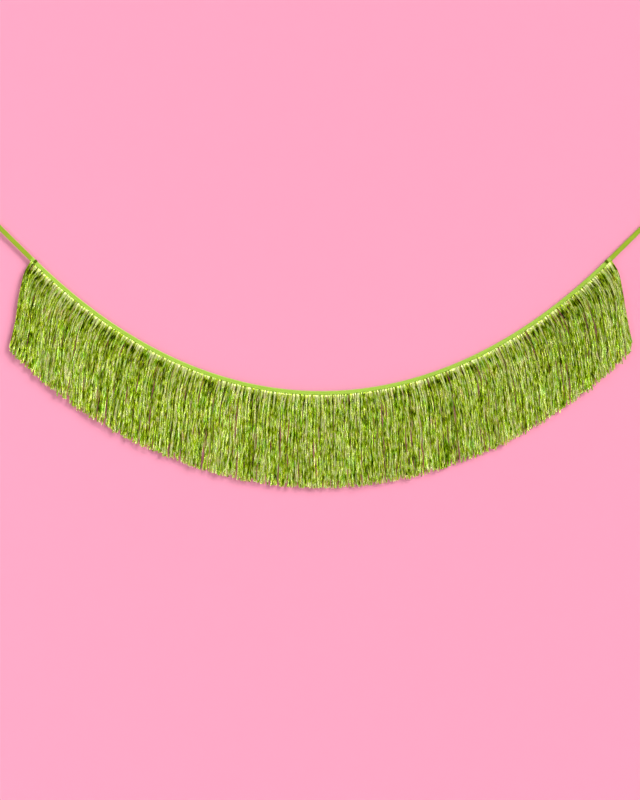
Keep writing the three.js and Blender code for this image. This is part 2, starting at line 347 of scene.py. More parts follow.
# Painted reflections of thin metallic film, as brighter and darker streaks that run with the strand, and the
# height of its crinkles
def filmGlintStreaks():
    inputs = {"across": 0.0, "along": 0.0, "phase": 0.0, "streakLength": 0.02, "crinkleLength": 0.005}
    given = newTree("filmGlintStreaks", "ShaderNodeTree", inputs)
    along, across, phase = given.along, given.across, given.phase * 83
    streak = noiseAt((phase, along / given.streakLength, across / (3 * mm)), 2, 0.6)
    crinkle = noiseAt((phase + 9, along / given.crinkleLength, across / (1.4 * mm)), 2, 0.55)
    return endTree("NodeSocketFloat", tone=clamp((streak - 0.5) * 2.9 + 0.5), height=crinkle)


# Warp threads and slubs of satin, and broad clouds of painted sheen, by distance across and along the ribbon
def satinWeave():
    inputs = {"across": 0.0, "along": 0.0, "threadWidth": 0.18 * mm}
    given = newTree("satinWeave", "ShaderNodeTree", inputs)
    across, along = given.across, given.along
    count = across / given.threadWidth
    thread = noiseAt((calc("FLOOR", count) * 7.3, along / (1.6 * mm), 0), 1)
    ridge = calc("ABSOLUTE", calc("SINE", count * math.pi))
    slub = noiseAt((across / (1.1 * mm), along / (26 * mm), 0), 3)
    sheenCloud = noiseAt((across / (9 * mm), along / (34 * mm), 4), 2)
    height = ridge * 0.45 + thread * 0.35 + slub * 0.2
    return endTree("NodeSocketFloat", tone=clamp(0.25 * thread + 0.35 * slub + 0.4 * sheenCloud), height=height)


filmGroup = filmGlintStreaks()
weaveGroup = satinWeave()

film = SimpleNamespace(
    # deep and moss stand in for painted dark reflections, bright and pale for painted highlights; lime is
    # the film's own colour, and the warm tint is a painted reflection of the pink wall
    deep=(0.022, 0.055, 0.000),
    moss=(0.212, 0.332, 0.001),
    lime=(0.530, 0.785, 0.012),
    bright=(0.840, 1.000, 0.170),
    pale=(0.920, 1.000, 0.410),
    greenTint=(0.560, 1.000, 0.480),
    warmTint=(1.000, 0.700, 0.800),
    shine=(0.9, 1.0, 0.35, 1),
    crestEnd=7 * mm,  # how far down the painted highlight row at the lips reaches
    shadeReach=(14 * mm, 34 * mm),  # where the shade below it fades out
    shadeArcs=(60 * mm, 300 * mm),  # it is a little deeper towards the ends
    # length of the painted highlight at the cut ends of some strands
    tipLength=5 * mm,
    # size along the ribbon and along the strand
    hueSpots=(8 * mm, 26 * mm),
    patches=(11 * mm, 60 * mm),
    specks=(4 * mm, 14 * mm),
    crestSpots=9 * mm,
)


# The strands. Each one has its own tone, and brighter and darker lengths, which are painted highlights and
# painted dark reflections.
def limeFilm():
    finish = {"Metallic": 0.9, "Roughness": 0.27, "Specular_IOR_Level": 0.2, "Specular_Tint": film.shine}
    material, shader = newMaterial("limeFilm", **finish)
    names = ("alongStrand", "acrossStrand", "strandTone", "rootArc", "tipDistance")
    terms = (addNode("ShaderNodeAttribute", give="Fac", attribute_name=name) for name in names)
    along, across, tone, arc, toTip = terms
    lengths = {"streakLength": 15 * mm, "crinkleLength": 6 * mm}
    streaks = useGroup(filmGroup, across=across, along=along, phase=tone, **lengths)

    def spots(size, phase, *detail):
        return noiseAt((arc / size[0], along / size[1], phase), *detail)

    hue = spots(film.hueSpots, tone * 1.3)
    patch = spots(film.patches, 7.7, 3, 0.6)
    speck = spots(film.specks, tone * 3 + 2.9, 2, 0.6)
    uneven = noiseAt((arc / film.crestSpots, tone * 7, 1.3), 1) + 0.35 * tone
    crestEnd, tipLength = film.crestEnd, film.tipLength
    # Painted highlight on the row where the strands bend out below the lips
    crest = (1 - step(along, crestEnd * 0.5, crestEnd * 3 * uneven)) * clamp(uneven * 1.3 - 0.15)
    shade = step(along, crestEnd, crestEnd * 2) * (1 - step(along, *film.shadeReach))
    # Painted highlight at the tips of some strands
    tip = (1 - step(toTip, tipLength * 0.4, tipLength)) * step(calc("FRACT", tone * 53.3), 0.35, 0.7)
    # Painted shade below that row, with darker patches and specks, and deeper towards the ends
    shadeZoneTone = 0.7 * (tone - 0.5) + 1.3 * (speck - 0.46)
    shadeZoneTone = shadeZoneTone - 0.2 * step(calc("ABSOLUTE", arc), *film.shadeArcs) - 0.35 * clamp(1 - patch * 2)
    share = 0.4 * tone + streaks.tone - 0.125 + (patch - 0.5) * 0.7
    share = clamp(share + 0.27 * crest + shadeZoneTone * shade + 0.25 * tip)
    tones = (film.deep, film.moss, film.lime, film.bright, film.pale)
    color = ramp(share, (0.0, 0.24, 0.5, 0.72, 0.9), tones)
    tints = (film.greenTint, (1, 1, 1), (1, 1, 1), film.warmTint)
    tint = ramp(clamp((hue - 0.5) * 1.8 + 0.5), (0.0, 0.45, 0.62, 1.0), tints)
    color = mixColor(1 - 0.8 * crest, color, tint, "MULTIPLY")
    roughness = 0.17 + 0.22 * streaks.height + 0.22 * crest
    coat(shader, color, roughness, streaks.height, 0.8 * mm)
    return material


# The unslit head of the film, pressed flat inside the fold
def pressedFilm():
    material, shader = newMaterial("pressedFilm", Metallic=0.85, Roughness=0.3, Specular_IOR_Level=0.3)
    x, y, z = split(addNode("ShaderNodeTexCoord", give="Object"))
    lengths = {"streakLength": 6 * mm, "crinkleLength": 2 * mm}
    streaks = useGroup(filmGroup, across=z, along=x, phase=0.3, **lengths)
    # Its darker and lighter streaks are painted reflections
    color = ramp(streaks.tone, (0.1, 0.9), (film.moss, film.lime))
    coat(shader, color, None, streaks.height, 0.2 * mm)
    return material


satin = SimpleNamespace(
    # shade, body and light
    tones=((0.240, 0.420, 0.018), (0.375, 0.590, 0.048), (0.500, 0.720, 0.100)),
    # darker copies of them for the tails: painted shade
    tailShadeTones=((0.170, 0.290, 0.005), (0.310, 0.440, 0.012), (0.430, 0.560, 0.040)),
    sheen=0.35,
    tailShadeSheen=0.15,
    sheenTint=(0.9, 1.0, 0.45, 1),
    cut=19.6 * mm,  # the ribbon's flat width, from selvedge to selvedge
    selvedge=0.6 * mm,
    threadWidth=0.18 * mm,
)


# For the taut tails a darker copy is made, with less sheen: painted shade on the same ribbon
def satinRibbon(name, contrast, tailShade=False):
    tones, sheen = (satin.tailShadeTones, satin.tailShadeSheen) if tailShade else (satin.tones, satin.sheen)
    finish = {"Sheen_Weight": sheen, "Sheen_Roughness": 0.35, "Sheen_Tint": satin.sheenTint}
    material, shader = newMaterial(name, Roughness=0.4, Specular_IOR_Level=0.5, **finish)
    across, along, flat = split(addNode("ShaderNodeUVMap"))
    weave = useGroup(weaveGroup, across=across, along=along, threadWidth=satin.threadWidth)
    color = ramp(clamp((weave.tone - 0.5) * contrast + 0.5), (0.0, 0.5, 1.0), tones)
    fromEdge = calc("PINGPONG", across, satin.cut)
    fromEdge = calc("MINIMUM", fromEdge, satin.cut - fromEdge)
    edge = 1 - step(fromEdge, satin.selvedge * 0.7, satin.selvedge)
    color = mixColor(edge * 0.3, color, tones[0])
    roughness = 0.33 + 0.16 * weave.tone + 0.1 * edge
    coat(shader, color, roughness, weave.height + 0.6 * edge, 0.09 * mm)
    return material


# Twisted sewing thread. Its ply runs round it at a slant.
def sewingThread(name, dark, light):
    material, shader = newMaterial(name, Roughness=0.6, Specular_IOR_Level=0.1)
    plyLength, fuzzSize = 0.42 * mm, 0.5 * mm
    x, y, z = split(addNode("ShaderNodeTexCoord", give="Object"))
    ply = calc("SINE", (x + 0.6 * y + z) * (2 * math.pi / plyLength))
    fuzz = noiseAt((x / fuzzSize, y / fuzzSize, z / fuzzSize), 3)
    color = ramp(clamp(0.5 + 0.22 * ply + (fuzz - 0.5) * 0.9), (0.1, 0.9), (dark, light))
    coat(shader, color, 0.45 + 0.25 * fuzz, ply * 0.5 + fuzz * 0.5, 0.06 * mm)
    return material


filmMaterial = limeFilm()
headMaterial = pressedFilm()
ribbonMaterial = satinRibbon("satinRibbon", 1.1)
tailShadeMaterial = satinRibbon("tailShadeSatin", 1.1, True)
# Stronger contrast between the shade and light tones: painted shade and light in the knot's gathers
gatheredMaterial = satinRibbon("gatheredSatin", 1.9)
seamMaterial = sewingThread("seamThread", (0.32, 0.49, 0.03), (0.60, 0.78, 0.12))
tackMaterial = sewingThread("tackThread", (0.040, 0.085, 0.000), (0.160, 0.240, 0.002))
print("materials ready")


# A piece that is given bend points keeps its placement baked into its mesh, and is not hung on its body
def addPiece(name, mesh, material, slot, *nodes, body="ribbon", bend=None):
    mesh.name = name
    mesh.materials.clear()
    mesh.materials.append(material)
    piece = bpy.data.objects.new(name, mesh)
    bpy.context.scene.collection.objects.link(piece)
    if bend:
        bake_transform(piece)
    else:
        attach(piece, body)
    if nodes:
        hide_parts(*nodes)
    return piece


# Turns a geometry tree into a plain mesh
def growMesh(name, tree, values):
    carrier = bpy.data.objects.new(name, bpy.data.meshes.new(name))
    bpy.context.scene.collection.objects.link(carrier)
    modifier = carrier.modifiers.new("grow", "NODES")
    modifier.node_group = tree
    for item in tree.interface.items_tree:
        if item.in_out == "INPUT":
            modifier[item.identifier] = values[item.name]
    depsgraph = bpy.context.evaluated_depsgraph_get()
    grown = carrier.evaluated_get(depsgraph)
    mesh = bpy.data.meshes.new_from_object(grown, preserve_all_data_layers=True, depsgraph=depsgraph)
    bpy.data.objects.remove(carrier)
    return mesh


def smoothMesh(name, shape):
    mesh = bpy.data.meshes.new(name)
    shape.to_mesh(mesh)
    shape.free()
    mesh.shade_smooth()
    mesh.set_sharp_from_angle(angle=math.radians(50))
    return mesh


def addFace(shape, layer, corners, spots):
    face = shape.faces.new(corners)
    for loop, spot in zip(face.loops, spots):
        loop[layer].uv = spot


# Adds to each (width, depth) of an outline how far along the outline it lies
def measured(outline, across=0):
    rows = []
    for i, (w, d) in enumerate(outline):
        across += math.hypot(w - outline[i - 1][0], d - outline[i - 1][1]) if i else 0
        rows.append((w, d, across))
    return rows


# A band swept along stations of (point, distance along, width axis, depth axis). outlineAt gives its outline
# at a distance along, as rows of (width, depth, distance across), the last row back at the first.
def sweepBand(stations, outlineAt):
    shape = bmesh.new()
    layer = shape.loops.layers.uv.new("flatCut")
    rings, acrosses = [], []
    for point, along, widthAxis, depthAxis in stations:
        outline = outlineAt(along)
        points = [point + widthAxis * w + depthAxis * d for w, d, across in outline[:-1]]
        rings.append([shape.verts.new(point) for point in points])
        acrosses.append([across for w, d, across in outline])
    for i in range(len(rings) - 1):
        for k in range(len(rings[i])):
            following = (k + 1) % len(rings[i])
            corners = (rings[i][k], rings[i][following], rings[i + 1][following], rings[i + 1][k])
            places = ((k, i), (k + 1, i), (k + 1, i + 1), (k, i + 1))
            spots = [(acrosses[row][column], stations[row][1]) for column, row in places]
            addFace(shape, layer, corners, spots)
    for ring in (rings[0], rings[-1]):
        for k in range(len(ring) // 2 - 1):  # an outline folded double is closed from wall to wall
            corners = (ring[k], ring[k + 1], ring[-2 - k], ring[-1 - k])
            addFace(shape, layer, corners, [(0, stations[0][1])] * 4)
    bmesh.ops.recalc_face_normals(shape, faces=shape.faces)
    return smoothMesh("band", shape)


# Outline of a folded ribbon: outside from the front lip over the fold to the back lip, and back inside. skin
# gives a wall's bulge and thickness, by the depth below the fold and the side.
def foldOutline(height, frontHeight, halfDepth, skin):
    wallRows = [1.0, 0.94, 0.85, 0.74, 0.69, 0.655, 0.5, 0.35, 0.2]
    turns = 7
    outside, inside = [], []

    def addWall(side, reach, rows):
        for row in rows:
            depth = halfDepth + row * (reach - halfDepth)
            bulge, thickness = skin(depth, side)
            outside.append((depth - height / 2, side * (halfDepth + bulge)))
            inside.append((depth - height / 2, side * (halfDepth + bulge - thickness)))

    addWall(-1, frontHeight, wallRows)
    thickness = skin(halfDepth, 1)[1]
    for i in range(turns + 1):
        angle = math.pi * i / turns
        for rows, radius in ((outside, halfDepth), (inside, halfDepth - thickness)):
            rows.append((halfDepth - height / 2 - radius * math.sin(angle), -radius * math.cos(angle)))
    addWall(1, height, list(reversed(wallRows)))
    cut, rows = satin.cut, measured(outside)
    rows = [(w, d, across * cut / rows[-1][2]) for w, d, across in rows]
    inside.reverse()
    rows += [(w, d, min(across, 2 * cut)) for w, d, across in measured(inside, cut)]
    rows.append((*rows[0][:2], 2 * cut))
    return rows


header = SimpleNamespace(
    halfDepth=1.4 * mm,
    thickness=0.45 * mm,
    stationGap=1 * mm,
    pucker=0.14 * mm,
    puckerReach=0.9 * mm,
    ripple=0.13 * mm,
    rippleLengths=(21 * mm, 8 * mm),
    hemStep=0.3 * mm,  # height over which the hem begins
    seamMargin=4 * mm,  # from the end of the fringe to the first stitch
    stitchSink=0.02 * mm,
)
seam = {
    "pitch": 4 * mm,
    "depth": 6.6 * mm,  # below the ribbon's top edge
    "stitchLength": 2.7 * mm,
    "threadRadius": 0.17 * mm,
}
swagInputs = {"swagRadius": swag.radius, "topHeight": topHeight}


# The header's walls: the hem doubles the front one, and the seam puckers both
def headerSkin(arc):
    long, short = header.rippleLengths
    wave = noise.noise(Vector((arc / long, 0.3, 0))) + 0.5 * noise.noise(Vector((arc / short, 4.1, 0)))
    stitch = 0.5 + 0.5 * math.cos(2 * math.pi * arc / seam["pitch"])

    def skin(depth, side):
        reach = swag.frontLip if side < 0 else swag.foldHeight
        hemTop = reach - swag.hemWidth
        lip = step(depth, seam["depth"], reach)
        hem = step(depth, hemTop - header.hemStep, hemTop) if side < 0 else 0
        near = math.exp(-(((depth - seam["depth"]) / header.puckerReach) ** 2))
        bulge = header.ripple * (wave * 0.4 + (0.9 + wave) * lip)
        bulge -= header.pucker * near * (0.35 + 0.65 * stitch)
        return bulge + hem * header.thickness, header.thickness * (1 + hem)

    return skin


def makeHeader():
    height, halfDepth = swag.foldHeight, header.halfDepth
    count = round(2 * ribbonHalfArc / header.stationGap)
    stations = []
    for i in range(count + 1):
        arc = -ribbonHalfArc + 2 * ribbonHalfArc * i / count
        slope = math.atan(arc / swag.radius)
        down = Vector((math.sin(slope), 0, -math.cos(slope)))
        stations.append((swagPoint(arc, height / 2, -swag.standOff), arc + ribbonHalfArc, down, axisY))

    def outlineAt(along):
        return foldOutline(height, swag.frontLip, halfDepth, headerSkin(along - ribbonHalfArc))

    mesh = sweepBand(stations, outlineAt)
    return addPiece("headerRibbon", mesh, ribbonMaterial, "satin_ribbon", "header_ribbon")


# A point of the swag in a geometry tree, as swagPoint has it: its x and z, and the sine of the slope
def swagPlace(given, arc, depth):
    radius = given.swagRadius
    tangent = arc / radius
    secant = calc("SQRT", tangent * tangent + 1)
    sine = tangent / secant
    x = radius * calc("LOGARITHM", tangent + secant, math.e) + depth * sine
    z = given.topHeight + radius * (secant - 1) - depth * calc("DIVIDE", 1, secant)
    return x, z, sine


# Points in a row, each told by its distance from the middle of the row
def pointRow(count, pitch):
    return addNode("Points", {"Count": count}), (addNode("InputIndex") - (count - 1) / 2) * pitch


# A random value for every point
def chance(seed, low=0.0, high=1.0):
    inputs = {"Min": low, "Max": high, "ID": addNode("InputIndex"), "Seed": seed}
    return addNode("FunctionNodeRandomValue", inputs)


# The end of the two trees that make stitches: a piece of thread on every point
def endThread(given, points, place, thread, turn, size):
    points = addNode("SetPosition", {"Geometry": points, "Position": place})
    turn = addNode("FunctionNodeEulerToRotation", {"Euler": turn})
    copies = {"Points": points, "Instance": thread, "Rotation": turn, "Scale": size}
    return endMesh(addNode("InstanceOnPoints", copies), given.material)


# Running stitches through the fold: a short rounded thread at every pitch along the swag
def stitchTree(inputs):
    given = newTree("runningStitches", "GeometryNodeTree", inputs)
    points, arc = pointRow(given.count, given.pitch)
    x, z, sine = swagPlace(given, arc, given.depth)
    line = addNode("CurvePrimitiveLine", {"Start": (-0.5, 0, 0), "End": (0.5, 0, 0)})
    line = addNode("ResampleCurve", {"Curve": line, "Count": 5})
    factor = addNode("SplineParameter", give="Factor")
    swell = calc("SQRT", calc("MAXIMUM", 4 * factor * (1 - factor), 0.06))
    line = addNode("SetCurveRadius", {"Curve": line, "Radius": swell})
    circle = addNode("CurvePrimitiveCircle", {"Resolution": 6, "Radius": 1})
    stitch = addNode("CurveToMesh", {"Curve": line, "Profile Curve": circle, "Fill Caps": True})
    size = vector(given.stitchLength, given.threadRadius, given.threadRadius)
    stitch = addNode("Transform", {"Geometry": stitch, "Scale": size})
    place, turn = vector(x, given.face, z), vector(0, -calc("ARCSINE", sine), 0)
    return endThread(given, points, place, stitch, turn, (1, 1, 1))


def seamValues(side):
    hem = header.thickness if side < 0 else 0  # doubles the front wall
    return {
        **seam,
        **swagInputs,
        "count": round(2 * (halfArc - header.seamMargin) / seam["pitch"]),
        "face": -swag.standOff + side * (header.halfDepth + hem - header.stitchSink),
        "material": seamMaterial,
    }


def makeStitches():
    tree = stitchTree(seamValues(-1))
    for name, side in (("frontSeam", -1), ("backSeam", 1)):
        addPiece(name, growMesh(name, tree, seamValues(side)), seamMaterial, "thread")


fringe = SimpleNamespace(
    seed=7,
    sectionMargin=0.6 * mm,  # at both ends of a section, before the roots are scattered
    bendReach=(1.5 * mm, 12 * mm),  # below the roots: the points at these depths are handed to each strand piece as its bend points
    sharpAngle=math.radians(60),
    rings=16,  # steps down a strand
    closeRings=3,  # the first ones lie close together, for the bend below the lips
    closeReach=7.5 * mm,  # how far down they reach
    overReach=2 * mm,  # of the longest strands past the drop
    rootScatter=3 * mm,
    sizes=(0.72, 1.15),  # least and greatest width, as a share of the usual one
    endReach=30 * mm,  # strands so near the fringe's end are drawn in
    endPull=(34 * mm, 3 * mm),  # inwards between root and tip, and outwards at the tip
    fanReach=150 * mm,  # and so near they fan less
    freeLength=9 * mm,  # over which a strand comes free of the lips
    clumpSize=(15 * mm, 75 * mm),  # along the ribbon and along the strand
    slantSize=8 * mm,  # along the ribbon, as the next one
    raggedSize=13 * mm,
    swayLength=42 * mm,
    twistLength=30 * mm,
    bellyLength=45 * mm,
    belly=1.1 * mm,  # to the front and the back
    crestReach=(2.6 * mm, 4.6 * mm),  # highest place of the bend, and how much lower it may be
    crestLength=3.2 * mm,
    waist=(22 * mm, 13 * mm),  # where the layers come together again, and over which length
    puffLength=4 * mm,
)

# What the geometry tree of a section is given, by the names of its inputs
strand = {
    "strands": 122,  # in each section
    "frontRoot": 7.95 * mm,  # where a front strand leaves the head, below the ribbon's top edge
    "backRoot": 9.9 * mm,
    "rootHalfDepth": 0.9 * mm,
    "width": 3.1 * mm,
    "thickness": 0.12 * mm,
    "ragged": 17 * mm,  # how much shorter the shortest strands are
    "droopLength": 29 * mm,  # over which a strand turns from square to the ribbon to hanging
    "fanShare": 0.2,  # part of the ribbon's slope that it keeps
    "layerDepth": 2.4 * mm,  # of the outermost strands, from the middle plane
    "crest": 1.0 * mm,  # how far the bend below the lips stands out
    "twist": 1.0,  # radians
    "sway": 2.2 * mm,
    "lean": 7 * mm,  # sideways drift at the tip of the few that lean most
    "slant": 0.16,  # sideways run of a strand at its root, as a share of its length
    "slantLength": 42 * mm,
    "clump": 12 * mm,  # how far neighbouring strands drift together
}


def storeValue(geometry, name, value):
    return addNode("StoreNamedAttribute", {"Geometry": geometry, "Name": name, "Value": value})


def readValue(name):
    return addNode("InputNamedAttribute", {"Name": name}, "Attribute")


# The roots of a section's strands, as points that carry what each strand is like
def rootPoints(given):
    index, seed = addNode("InputIndex"), given.seed * 31
    # Even spread over the arc and the depth, so no gap opens
    spread = calc("FRACT", index * 0.7548777 + given.seed * 0.311)
    layer = calc("FRACT", index * 0.5698403 + given.seed * 0.173) * 2 - 1
    arc = given.firstArc + (given.lastArc - given.firstArc) * spread
    short = clamp(chance(seed + 3) + 0.8 * (noiseAt((arc / fringe.raggedSize, 2.2, 0)) - 0.5))
    root = given.backRoot + (given.frontRoot - given.backRoot) * calc("LESS_THAN", layer, 0)
    points = addNode("Points", {"Count": given.strands})
    stored = {
        "rootArc": arc + chance(seed + 1, -fringe.rootScatter, fringe.rootScatter),
        "rootDepth": root,
        "strandLayer": layer,
        "strandReach": given.drop - root + fringe.overReach - given.ragged * short * short,
        "strandTone": chance(seed + 4),
        "strandTurn": chance(seed + 5, -1.0, 1.0),
        "strandLean": chance(seed + 6, -1.0, 1.0),
        "strandSize": chance(seed + 7, *fringe.sizes),
    }
    for name, value in stored.items():
        points = storeValue(points, name, value)
    return points


# A straight strip on every point. Its rings get their distances across and along the strand.
def straightStrips(given, points):
    rings, close, closeReach = fringe.rings, fringe.closeRings, fringe.closeReach
    vertices = {"Vertices X": 2, "Vertices Y": 2, "Vertices Z": rings + 1}
    strip = addNode("MeshCube", {"Size": (1, 1, 1), **vertices})
    copies = addNode("InstanceOnPoints", {"Points": points, "Instance": strip})
    strips = addNode("RealizeInstances", {"Geometry": copies})
    side, skin, height = split(addNode("InputPosition"))
    reach = readValue("strandReach")
    ring = (0.5 - height) * rings
    near = ring * (1.6 * mm) + ring * ring * (0.3 * mm)  # closeReach at the last close ring
    far = closeReach + (reach - closeReach) * (ring - close) / (rings - close)
    along = far + (near - far) * calc("LESS_THAN", ring, close + 0.5)
    strips = storeValue(strips, "alongStrand", along)
    strips = storeValue(strips, "acrossStrand", given.width * readValue("strandSize") * side)
    strips = storeValue(strips, "tipDistance", reach - readValue("alongStrand"))
    return strips, skin


# One section of slit film. Every strand starts as a straight strip and is then bent along its own path.
def fringeTree(inputs):
    given = newTree("slitFringe", "GeometryNodeTree", inputs)
    strips, skin = straightStrips(given, rootPoints(given))
    names = ("rootArc", "rootDepth", "strandTone", "strandTurn", "strandLean", "strandLayer")
    arc, rootDepth, tone, turn, lean, level = (readValue(name) for name in names)
    along, across = readValue("alongStrand"), readValue("acrossStrand")

    def decay(length):
        return calc("EXPONENT", -along / length)

    # It leaves the ribbon square to it and turns plumb, but for the share of the slope that it keeps. run is
    # how far it has gone sideways by then, and squares what that cost in height.
    x, z, sine = swagPlace(given, arc, rootDepth)
    fromEnd = given.halfArc - calc("ABSOLUTE", arc)
    outer = 1 - step(fromEnd, 0, fringe.endReach)
    fan = given.fanShare * (0.65 + 0.35 * step(fromEnd, 0, fringe.fanReach))
    droop = given.droopLength
    fade = decay(droop)
    fade2 = fade * fade
    rest = 1 - fan
    keep = fan + rest * (2 * fade - fade2)
    turned = droop * (1.5 - 2 * fade + 0.5 * fade2)
    turnedTwice = droop * (2 * (1 - fade2) - 4 / 3 * (1 - fade2 * fade) + 0.25 * (1 - fade2 * fade2))
    run = fan * along + rest * turned
    squares = fan * fan * along + 2 * fan * rest * turned + rest * rest * turnedTwice
    x = x + sine * run
    z = z - along + 0.56 * sine * sine * squares
    dirX = sine * keep
    dirZ = calc("SQRT", 1 - dirX * dirX)

    free = 1 - decay(fringe.freeLength)
    down = along / given.drop
    phase = tone * 61

    def wander(number, length):
        return noiseAt((along / length, phase + number, number * 3.7), 1) - 0.5

    # Sideways: sway, lean, slant, and the drift of a clump
    clumpArc, clumpLength = fringe.clumpSize
    together = noiseAt((arc / clumpArc, along / clumpLength, level * 1.8)) - 0.5
    crossing = noiseAt((arc / fringe.slantSize, level * 2.6, 5.5), 1) - 0.5
    slant = given.slant * (0.45 * lean + 3.2 * crossing)
    drift = free * given.sway * 2 * wander(1, fringe.swayLength)
    drift = drift + given.lean * lean * lean * lean * down * down
    drift = drift + slant * given.slantLength * (1 - decay(given.slantLength))
    drift = drift + given.clump * 2 * together * calc("SQRT", down) * free
    middlePull, tipPull = fringe.endPull
    pull = middlePull * down * (1 - down) - tipPull * down * down * down
    drift = drift * (1 - 0.75 * outer) - calc("SIGN", arc) * outer * pull

    # To the front and the back: the layers part below the lips, and come closer again further down
    def bell(place, length):
        return calc("EXPONENT", -calc("POWER", (along - place) / length, 2))

    crestTop, crestRange = fringe.crestReach
    bow = bell(crestTop + crestRange * calc("FRACT", tone * 17.3), fringe.crestLength)
    puff = (1 - decay(fringe.puffLength)) * (1 - 0.4 * bell(*fringe.waist))
    front = calc("SIGN", level)
    y = -given.standOff + level * given.layerDepth * puff + front * given.rootHalfDepth
    y = y + front * given.crest * bow * (0.35 + 0.65 * calc("ABSOLUTE", level)) * (0.4 + tone)
    y = y + free * fringe.belly * wander(9, fringe.bellyLength)

    angle = free * given.twist * (0.5 * turn + 3 * wander(5, fringe.twistLength))
    cosTurn, sinTurn = calc("COSINE", angle), calc("SINE", angle)
    depth = given.thickness * skin
    flat = drift + across * cosTurn - depth * sinTurn
    position = vector(x + dirZ * flat, y + across * sinTurn + depth * cosTurn, z + dirX * flat)
    bent = addNode("SetPosition", {"Geometry": strips, "Position": position})
    return endMesh(bent, given.material)


def sectionStart(number):
    return -halfArc + number * sectionArc


def sectionValues(number):
    first = sectionStart(number)
    return {
        **strand,
        **swagInputs,
        "firstArc": first + fringe.sectionMargin,
        "lastArc": first + sectionArc - fringe.sectionMargin,
        "halfArc": halfArc,
        "standOff": swag.standOff,
        "drop": swag.drop,
        "seed": fringe.seed + number,
        "material": filmMaterial,
    }


def makeFringe():
    tree = fringeTree(sectionValues(0))
    for number in range(swag.sections):
        body = "section_%02d" % (number + 1)
        mesh = growMesh(body, tree, sectionValues(number))
        mesh.set_sharp_from_angle(angle=fringe.sharpAngle)
        middle = sectionStart(number) + sectionArc / 2
        depths = [strand["frontRoot"] + reach for reach in fringe.bendReach]
        bend = [swagPoint(middle, depth, -swag.standOff) for depth in depths]
        name, nodes = "strands_%02d" % (number + 1), (body + "_front_ply", body + "_back_ply")
        addPiece(name, mesh, filmMaterial, "film", *nodes, body=body, bend=bend)
    print("fringe ready:", swag.sections * strand["strands"], "strands")


headerPiece = makeHeader()
makeStitches()
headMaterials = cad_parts["film_head"].data.materials
headMaterials.clear()
headMaterials.append(headMaterial)
print("ribbon and seams ready")
makeFringe()

tack = {
    "wraps": 13,
    "pitch": 0.42 * mm,
    "threadRadius": 0.3 * mm,
}
ends = SimpleNamespace(
    tackRise=0.25 * mm,  # gap between the fold's top and the thread
    tackGap=0.15 * mm,  # and at the walls
    tailHalfDepth=0.5 * mm,
    tailThickness=0.42 * mm,
    tailStation=1.5 * mm,
    tailTuck=1.3 * mm,  # how far it reaches into the header and the knot
    tailShrink=(1.1 * mm, 0.06 * mm),  # in height and half depth, where it lies inside the header's fold
    gatherLength=9 * mm,  # over which the ribbon narrows at the knot
    pleat=0.16 * mm,
    knotRadius=3.9 * mm,
    knotFlat=0.8,  # the knot's depth as a share of its height
    wrapWidth=4.3 * mm,
    wrapThickness=1.5 * mm,
    wrapReach=3.7 * mm,  # of the wraps, to either side of the knot's middle
    lockRise=1.15 * mm,  # of the last wrap over the others
    lockReach=4.3 * mm,
    coreSize=(5.2 * mm, 3.4 * mm),
    loopRadius=6.5 * mm,
    loopThickness=1 * mm,
    loopSpread=0.25 * mm,
    spareStart=1.5 * mm,
    spareLength=17 * mm,
    spareTurn=math.radians(72),
    spareHalfThickness=0.4 * mm,
    spareNeck=(5.4 * mm, 2.6 * mm),  # where it begins to widen, and its half width there
    spareFlare=6 * mm,
    notch=4 * mm,
)


# Bar tack: loops of thread side by side, over the fold and through its walls and the film above the lips
def tackTree(inputs):
    given = newTree("barTackWraps", "GeometryNodeTree", inputs)
    points, x = pointRow(given.wraps, given.pitch)
    size = {"Width": given.depth, "Height": given.height}
    wrap = addNode("CurvePrimitiveQuadrilateral", size)
    corners = {"Curve": wrap, "Count": 5, "Radius": given.depth * 0.42, "Limit Radius": True}
    wrap = addNode("FilletCurve", corners, mode="POLY")
    wrap = addNode("SubdivideCurve", {"Curve": wrap, "Cuts": 1})
    circle = addNode("CurvePrimitiveCircle", {"Resolution": 8, "Radius": given.threadRadius})
    wrap = addNode("CurveToMesh", {"Curve": wrap, "Profile Curve": circle})
    wrap = addNode("Transform", {"Geometry": wrap, "Rotation": (math.pi / 2, 0, math.pi / 2)})
    tilt = chance(given.seed, -0.045, 0.045)
    grow = chance(given.seed + 1, 0.98, 1.05)
    turn, size = vector(0, tilt, tilt), vector(1, grow, grow)
    return endThread(given, points, vector(x, 0, 0), wrap, turn, size)


def placeMesh(mesh, matrix):
    mesh.transform(matrix)
    if matrix.determinant() < 0:
        mesh.flip_normals()
    return mesh


def tackMeshes():
    thread, foot = tack["threadRadius"], swag.tackFoot
    rise = thread + ends.tackRise  # of the thread's middle over the fold
    values = {
        **tack,
        "depth": 2 * (header.halfDepth + header.thickness + thread + ends.tackGap),
        "height": foot - thread + rise,
        "seed": 3,
        "material": tackMaterial,
    }
    tree = tackTree(values)
    lift = Matrix.Translation((0, 0, (swag.foldHeight - foot + thread + rise) / 2))
    meshes = {}
    for side, name in ((-1, "left"), (1, "right")):
        mesh = growMesh(name + "Tack", tree, {**values, "seed": 3 + side})
        meshes[name] = placeMesh(mesh, ribbonPlace(halfArc - swag.tackSetback, side) @ lift)
    return meshes


